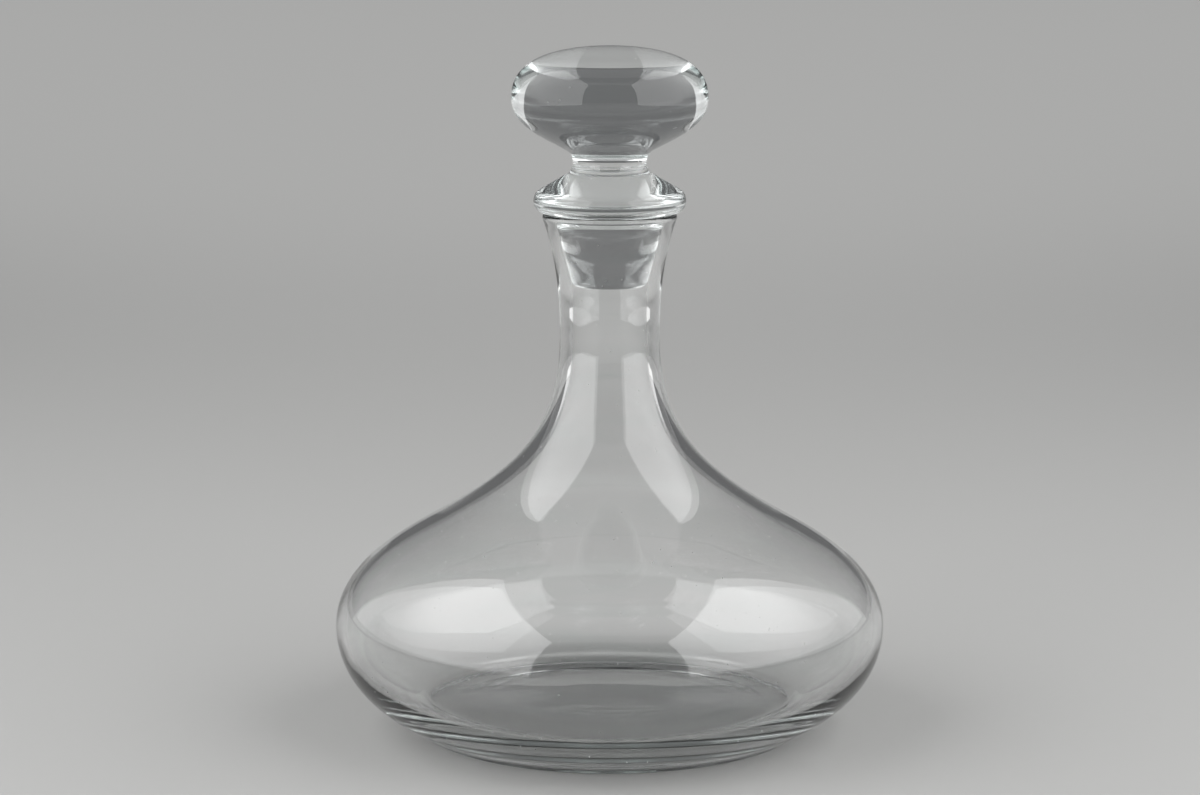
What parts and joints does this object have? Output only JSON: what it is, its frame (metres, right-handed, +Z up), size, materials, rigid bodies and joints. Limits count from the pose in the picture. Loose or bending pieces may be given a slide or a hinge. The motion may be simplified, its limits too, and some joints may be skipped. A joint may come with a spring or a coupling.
{
  "type": "ships decanter",
  "caption": "Clear glass ship's decanter for wine or spirits: a wide, low, stable body with a flared neck, closed by a solid glass stopper with a flattened round knob.",
  "frame": {"origin": "on the table, under the middle of the vessel's base", "axes": "+Z up along the axis that the vessel and the stopper are turned about; the object is round, so X and Y are free"},
  "size_m": [0.2, 0.2, 0.2477],
  "materials": {
    "vessel_glass": "clear blown glass, fire-polished, thin at the belly and thick at the base",
    "stopper_glass": "clear solid glass, polished all over"
  },
  "bodies": {
    "vessel": {"vessel": "vessel_glass"},
    "stopper": {"stopper": "stopper_glass"}
  },
  "joints": [
    {"name": "stopper_lift", "type": "slide", "parent": "vessel", "child": "stopper", "axis": [0, 0, 1], "range_m": [0, 0.06]}
  ]
}
